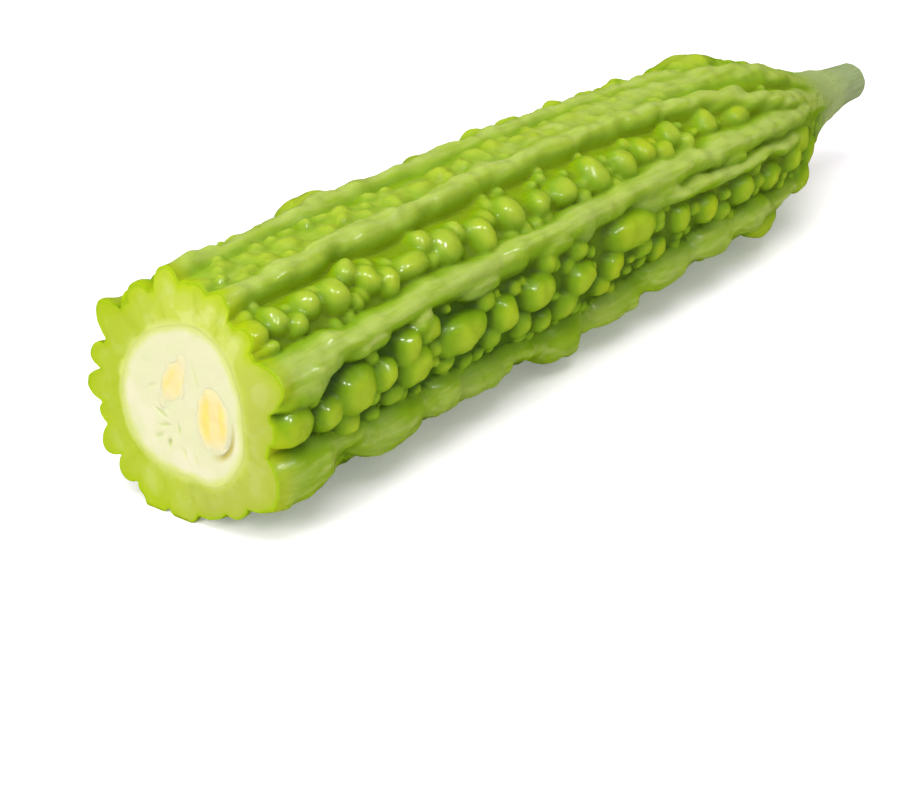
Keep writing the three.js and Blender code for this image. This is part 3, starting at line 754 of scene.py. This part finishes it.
def makeSkin():
    lengthwise = skin["lengthwise"] // 1
    around = skin["around"] // 1
    along, angle = relaxedGrid(around, lengthwise, skin["rounds"])
    # a few close rows round off the cut edge
    share = np.array(skin["edgeRows"])[:, None]
    firstAngle = angle[:1] + wrapped(angle[1:2] - angle[:1]) * share
    firstAlong = along[:1] + (along[1:2] - along[:1]) * share
    # and one close row before the stem keeps that edge crisp
    along = np.concatenate([firstAlong, along[1:-1], along[-1:] - 0.05, along[-1:]])
    angle = np.concatenate([firstAngle, angle[1:-1], angle[-1:], angle[-1:]])
    height, ridgeShare, middle = skinDetail(along, angle)
    short = np.clip(1 - along / skin["edge"], 0, 1)
    height = height - skin["edge"] * (1 - np.sqrt(1 - short ** 2))
    outside = skinPoints(along, angle, height)

    # the cut face, from its rounded edge to the core
    rings = skin["faceRings"]
    share = np.append(np.arange(1, rings) / (rings - 1), 1)[:, None, None]
    share[-2] = 0.996  # a close ring keeps the corner crisp
    inner = placed(np.zeros(around), angle[0], coreRadius(np.zeros(around), angle[0]))
    face = outside[0] + (inner - outside[0]) * share
    face[..., 0] += 0.16 * ripples(face[..., 1:], 5, 9) * np.sin(np.pi * share[..., 0])

    hollow = coreSides(angle[0], core["depth"])  # the core fills it
    points, faces = closedTube(np.concatenate([hollow[::-1], face[::-1], outside]))

    def column(hollowValue, faceValues, skinValues, tip):
        hollowValues = np.full(hollow[..., 0].size, hollowValue)
        tips = [hollowValue, tip]
        return np.concatenate([hollowValues, np.ravel(faceValues[::-1]), np.ravel(skinValues), tips])

    zero = np.zeros((rings, around))
    # low marks the underside, where the painted crest highlight is dimmer; upper marks the upper side, where
    # painted light is added and the painted groove shade is lighter
    low = np.clip(-2 * np.cos(np.radians(angle)), 0, 1)
    upper = np.clip(2 * np.cos(np.radians(angle - 10)) - 0.9, 0, 1)
    # the painted shade in the grooves is lighter where they face up, and towards the stem it lightens too,
    # most of all on the upper half
    fading = 0.25 + 0.55 * np.clip(2 * np.cos(np.radians(angle - 20)) - 0.3, 0, 1)
    groovesLessShaded = 1 - (1 - upper) * (1 - fading * np.clip((along - 50) / 130, 0, 1))
    values = {
        "relief": column(0, zero + 0.8, height / skin["grooveDepth"], 0.5),
        "ridge": column(0, zero, ridgeShare, 1),
        # the painted crest highlight is dimmer on the underside
        "middle": column(0, zero, middle * (1 - 0.25 * low), 0.5),
        "along": column(0, zero, along, skin["length"]),
        "cut": column(1, zero + 1, np.clip(1 - along / 1.2, 0, 1) ** 2, 0),
        "upper": column(0, zero, upper, 0),
        "groovesLessShaded": column(0, zero, groovesLessShaded, 0),
        "depth": column(1, zero + share[..., 0], along * 0, 0),
        "spokeY": column(0, zero + 0.01 * np.sin(np.radians(angle[0])), along * 0, 0),
        "spokeZ": column(0, zero + 0.01 * np.cos(np.radians(angle[0])), along * 0, 0),
    }
    end = len(points) - 1
    return makePiece("bitter_gourd_flesh", points, faces, skinFinish(), "flesh", values, end)


flesh = makeSkin()
print("flesh made,", len(flesh.data.polygons), "faces")

coreLooks = {
    "pith": colour(190, 190, 152),
    "green": colour(184, 190, 142),
    "edge": colour(178, 187, 98),
    "blush": colour(200, 194, 168),
    "fissure": colour(190, 205, 130),
    "pocket": colour(158, 146, 30),
}
coreShape = {
    "rings": 64,
    "around": 240,
    "play": 0.6,  # left free at the end of the hollow
    "proud": 0.05,  # the core stands this far out of the flesh around it
    "pocketDepth": 0.8,
    "pocketEdge": 0.5,
}

# Narrow splits in the spongy core: from y, z to y, z, half width and depth.
fissures = [
    [3.4, -8.6, 3.2, -10.6, 0.55, 1.1], [4, -4.4, 7.6, -3, 0.5, 0.5], [3.2, -5.6, 6.6, -6.6, 0.45, 0.5],
    [1.2, -4.6, 0.6, -7.4, 0.5, 0.5], [5.2, -8, 7.6, -9.6, 0.45, 0.4], [-2.2, 8.6, -3.6, 4.6, 0.4, 0.45],
    [0.2, -9.4, -1.6, -12, 0.45, 0.4], [7.2, 2, 9.4, 0.6, 0.4, 0.35], [-3.4, -9.6, -4.4, -12, 0.4, 0.3],
]


def pithFinish():
    looks = coreLooks
    f = Finish("bitter_gourd_pith")
    rim, pocket, split = f.value("rim"), f.value("pocket"), f.value("split")
    soft = f.mottle(5, 4)
    fibre = f.mottle(0.8, 4)
    tone = f.mix(looks["pith"], looks["green"], f.ramp(soft, 0.48, 0.72) * 0.6)
    tone = f.mix(tone, looks["blush"], f.ramp(f.mottle(8, 2), 0.5, 0.7) * 0.5)
    tone = f.mix(tone, looks["edge"], f.ramp(rim + (soft - 0.5) * 0.12, 0.87, 1))
    tone = f.mix(tone, looks["fissure"], split)
    # painted shade in the pocket each seed sits in and in the gap left open beside it
    tone = f.mix(tone, looks["pocket"], pocket)
    bump = f.node("Bump", {}, {"Strength": 0.35, "Distance": 0.0004, "Height": fibre * 0.6 + soft * 0.4})
    return f.surface(
        Base_Color=tone,
        Roughness=0.55 + 0.2 * (fibre - 0.5),
        Normal=bump,
        Subsurface_Weight=0.35,
        Subsurface_Radius=(1.0, 0.95, 0.6),
        Subsurface_Scale=0.002,
        Specular_IOR_Level=0.35,
    )


def seedFrame(seed, y, z):  # how far along and across a seed a place in the cut face is, in half lengths
    turn = math.radians(seed["turn"])
    up, side = z - seed["z"], -(y - seed["y"])
    length = up * math.cos(turn) + side * math.sin(turn)
    width = side * math.cos(turn) - up * math.sin(turn)
    return length, width


def seedShape(seed, length, width):  # 0 in the middle of the seed, 1 on its outline
    taper = 1 - seedForm["taper"] * np.clip(length / seed["halfLength"], -1, 1)
    return np.sqrt((length / seed["halfLength"]) ** 2 + (width / (seed["halfWidth"] * taper)) ** 2)


def splitsAt(y, z):  # how deep the splits are, and how plainly they show, from 0 to 1
    sink, shown = np.zeros_like(y), np.zeros_like(y)
    ragged = 0.12 * ripples(np.stack([y, z], -1), 1.5, 23)
    for y0, z0, y1, z1, halfWidth, deep in fissures:
        run = np.array([y1 - y0, z1 - z0])
        t = np.clip(((y - y0) * run[0] + (z - z0) * run[1]) / (run @ run), 0, 1)
        off = np.hypot(y - y0 - t * run[0], z - z0 - t * run[1]) + ragged
        cutIn = np.clip(1 - (off / halfWidth) ** 2, 0, 1) * np.sin(np.pi * np.clip(t, 0.08, 0.92))
        sink += cutIn * deep
        shown = np.maximum(shown, cutIn * min(1, deep))
    return sink, shown


def makePith():
    rings, around = coreShape["rings"], coreShape["around"]
    angle = np.repeat((np.arange(around) * 360 / around)[None], rings, 0)
    share = np.append(np.arange(1, rings) / (rings - 1), 1)[:, None] + np.zeros((1, around))
    share[-2] = 0.997  # a close ring keeps the corner crisp
    rim = coreRadius(np.zeros_like(angle), angle)
    cap = placed(np.zeros_like(angle), angle, rim * share)
    y = cap[..., 1] - axisY
    z = cap[..., 2] - skin["restHeight"]
    sink = 0.07 * ripples(np.stack([y, z], -1), 3.4, 21) + 0.03 * ripples(np.stack([y, z], -1), 1.3, 22, 30)
    sink = sink - coreShape["proud"] * (1 - share ** 6)
    sink = sink * np.clip((1 - share) * 12, 0, 1)
    splitSink, split = splitsAt(y, z)
    sink = sink + splitSink
    pocket = np.zeros_like(y)
    for seed in seeds.values():
        length, width = seedFrame(seed, y, z)
        reach = seedShape(seed, length, width)
        into = np.clip((seed["seat"] - reach) * seed["halfWidth"] / coreShape["pocketEdge"], 0, 1)
        # a gap stays open around one end of the seed
        bearing = np.degrees(np.arctan2(width / seed["halfWidth"], -length / seed["halfLength"]))
        arc = np.clip(1.3 - np.abs(bearing - seed["gapBearing"]) / seed["gapReach"], 0, 1)
        crack = np.clip(1 - np.abs(reach - 1.06) / 0.16, 0, 1) * arc * seed["gap"]
        sink = sink * (1 - into) + coreShape["pocketDepth"] * np.maximum(into, 0.5 * crack)
        # the pith is painted darker where it sinks round a seed and in the gap: painted shade
        pocket = np.maximum(pocket, np.maximum(crack, into))
    cap[..., 0] += sink
    sides = coreSides(angle[0], core["depth"] - coreShape["play"])
    points, faces = closedTube(np.concatenate([cap, sides]))

    def column(capValues, sideValue):
        sideValues = np.full(sides[..., 0].size, sideValue)
        return np.concatenate([np.ravel(capValues), sideValues, [0, sideValue]])

    values = {"rim": column(share, 1), "pocket": column(pocket, 0), "split": column(split, 0)}
    return makePiece("bitter_gourd_pith", points, faces, pithFinish(), "pith", values)


makePith()
print("pith made")

seedLooks = {
    "middle": colour(208, 188, 96),
    "edge": colour(196, 192, 152),
    "blush": colour(204, 188, 140),
}


def seedFinish(name, seed):
    looks = seedLooks
    f = Finish(name)
    across, reach = f.value("across") - 0.12, f.value("reach")
    soft = f.mottle(2.2, 3)
    tone = f.mix(looks["middle"], looks["blush"], (1 - f.ramp(across * across, 0.02, 0.14)) * 0.7)
    tone = f.mix(tone, looks["edge"], f.ramp(reach + (soft - 0.5) * 0.3, seed["soft"], 0.95))
    bump = f.node("Bump", {}, {"Strength": 0.2, "Distance": 0.0003, "Height": soft})
    return f.surface(
        Base_Color=tone,
        Roughness=0.42 + 0.1 * (soft - 0.5),
        Normal=bump,
        Subsurface_Weight=0.3,
        Subsurface_Radius=(1.0, 0.85, 0.4),
        Subsurface_Scale=0.0015,
    )


def makeSeed(name, seed):
    around, rings = seedForm["around"], seedForm["rings"]
    turn = math.radians(seed["turn"])
    theta = np.arange(around) * 2 * math.pi / around
    points, acrossValues, reachValues = [], [], []
    # a domed face in the cut, then the rounded back in the core
    reaches = np.arange(1, rings + 1) / rings
    profile = [(reach, seed["rimDepth"] - seed["rise"] * (1 - reach ** 4)) for reach in reaches]
    backAngles = np.linspace(0.2, 1.45, seedForm["backRings"])
    profile += [(math.cos(angle), seedForm["back"] * math.sin(angle)) for angle in backAngles]
    for reach, deep in profile:
        taper = 1 - seedForm["taper"] * np.cos(theta) * reach
        length = seed["halfLength"] * reach * np.cos(theta)
        width = seed["halfWidth"] * reach * np.sin(theta) * taper
        z = seed["z"] + length * math.cos(turn) - width * math.sin(turn)
        y = seed["y"] - length * math.sin(turn) - width * math.cos(turn)
        x = cutX + math.tan(math.radians(skin["cutLean"])) * z + deep
        x = x + 0.12 * ripples(np.stack([y, z], -1), 2, 31)
        points.append(np.stack([x, axisY + y, skin["restHeight"] + z], -1))
        acrossValues.append(np.sin(theta) * reach)
        reachValues.append(np.full(around, reach))
    points, faces = closedTube(np.array(points))
    values = {"across": np.append(acrossValues, [0, 0]), "reach": np.append(reachValues, [0, 0])}
    title = "bitter_gourd_" + name
    return makePiece(title, points, faces, seedFinish(title, seed), name, values)


for name, seed in seeds.items():
    makeSeed(name, seed)
print("seeds made")

stemLooks = {
    "base": colour(157, 174, 102),
    "tip": colour(142, 157, 106),
    "end": colour(134, 148, 104),
    "line": colour(108, 128, 56),
}


def stemFinish():
    looks = stemLooks
    f = Finish("bitter_gourd_stem")
    along = f.value("along")
    streaks = f.mottle(0.9, 4, (0.1, 1, 1))
    patches = f.mottle(5)
    tone = f.mix(looks["base"], looks["tip"], f.ramp(along + (patches - 0.5) * 6, 0, 14))
    tone = f.mix(tone, looks["line"], f.ramp(streaks, 0.5, 0.75) * 0.5)
    tone = f.mix(tone, looks["end"], f.ramp(along, 19.6, 20.8))
    bump = f.node("Bump", {}, {"Strength": 0.3, "Distance": 0.0003, "Height": streaks * 0.7 + patches * 0.3})
    return f.surface(
        Base_Color=tone,
        Roughness=0.5 + 0.15 * (streaks - 0.5),
        Normal=bump,
        Subsurface_Weight=0.2,
        Subsurface_Radius=(0.7, 1.0, 0.3),
        Subsurface_Scale=0.0015,
    )


def makeStem():
    profile = [[0, crestAt(skin["length"])], *stem["profile"]]
    around, tipStart = stem["around"], stem["tipStart"]
    bend = np.sin(np.linspace(0, math.pi / 2, stem["tipRows"] + 1)[1:])
    tipRows = tipStart + (stem["length"] - tipStart) * bend
    rows = np.concatenate([[0, 0.05], np.linspace(0.4, tipStart, stem["lengthwise"]), tipRows])
    angle = np.repeat((np.arange(around) * 360 / around)[None], len(rows), 0)
    run = np.repeat(rows[:, None], around, 1)
    height = skinDetail(np.full_like(run, skin["length"]), angle)[0]
    flute = -sunk(skin["length"], height) * np.clip(1 - run / stem["fluteReach"], 0, 1)
    fine = 0.12 * ripples(np.stack([run * 0.15, angle * 0.09], -1), 1.2, 41) * np.clip(run, 0, 1)
    along = skin["length"] + stem["gap"] * np.clip(run / stem["gapReach"], 0, 1) + run
    points, faces = closedTube(placed(along, angle, through(profile, run) + flute + fine))
    values = {"along": np.append(run, [rows[0], rows[-1]])}
    foot = len(points) - 2
    return makePiece("bitter_gourd_stem", points, faces, stemFinish(), "stem", values, foot)


makeStem()
print("stem made")

stage = {
    "floorHalf": 6,
    "floorDrop": 0.00002,
    "floorGlow": 0.2,  # keeps the shadow pale
    "world": 0.67,
    "camera": (-269.9, -275.8, 214.4),  # mm from the floor below the middle of the cut face
    "heading": 37.9,
    "pitch": 26.3,
    "lens": 88,
}
lights = {  # a glint shows in the wax alone, the others light the surface alone
    "overhead": {"from": (-0.25, -0.1, 1), "distance": 1.5, "size": 1.6, "power": 20, "glint": False},
    "key": {"from": (-0.9, 0, 0.5), "distance": 1.2, "size": 0.5, "power": 7, "glint": False},
    "glint": {"from": (-0.22, -0.42, 0.85), "distance": 1.2, "size": 0.3, "power": 9, "glint": True},
    "glint_beside": {
        "from": (0.12, -0.72, 0.66), "distance": 1.2, "size": 0.24, "power": 6.5, "glint": True,
    },
}


def makeFloor():
    half = stage["floorHalf"]
    mesh = bpy.data.meshes.new("floor")
    corners = [(-half, -half), (half, -half), (half, half), (-half, half)]
    mesh.from_pydata([(x, y, -stage["floorDrop"]) for x, y in corners], [], [(0, 1, 2, 3)])
    f = Finish("pale_floor")
    grain = f.mottle(40, 2)
    tone = f.mix(colour(252, 246, 252), colour(248, 242, 249), grain)
    glow = {"Emission_Color": (1, 1, 1, 1), "Emission_Strength": stage["floorGlow"]}
    mesh.materials.append(f.surface(Base_Color=tone, Roughness=0.6, Specular_IOR_Level=0.2, **glow))
    floor = bpy.data.objects.new("floor", mesh)
    floor.visible_glossy = False
    bpy.context.scene.collection.objects.link(floor)


def makeLight(name, lamp):
    data = bpy.data.lights.new(name, "AREA")
    data.shape = "DISK"
    data.size = lamp["size"]
    data.energy = lamp["power"]
    light = bpy.data.objects.new(name, data)
    towards = Vector(lamp["from"]).normalized()
    middle = (cadBox[0] + cadBox[1]) / 2
    light.location = middle + towards * lamp["distance"]
    light.rotation_euler = (-towards).to_track_quat("-Z", "Y").to_euler()
    light.visible_glossy = lamp["glint"]
    light.visible_diffuse = not lamp["glint"]
    bpy.context.scene.collection.objects.link(light)


def makeCamera():
    data = bpy.data.cameras.new("camera")
    data.lens = stage["lens"]
    data.sensor_width = 36
    data.clip_start = 0.01
    camera = bpy.data.objects.new("camera", data)
    x, y, z = stage["camera"]
    camera.location = Vector((cutX + x, axisY + y, z)) / 1000
    camera.rotation_euler = (math.radians(90 - stage["pitch"]), 0, math.radians(stage["heading"] - 90))
    bpy.context.scene.collection.objects.link(camera)
    bpy.context.scene.camera = camera


def makeStage():
    scene = bpy.context.scene
    scene.view_settings.view_transform = "Standard"
    scene.view_settings.look = "None"
    world = bpy.data.worlds.new("white_room")
    world.use_nodes = True
    sky = world.node_tree.nodes["Background"].inputs
    sky["Color"].default_value = (1, 1, 1, 1)
    sky["Strength"].default_value = stage["world"]
    world.cycles_visibility.glossy = False
    scene.world = world
    makeFloor()
    for name, lamp in lights.items():
        makeLight(name, lamp)
    makeCamera()


makeStage()
print("stage made")
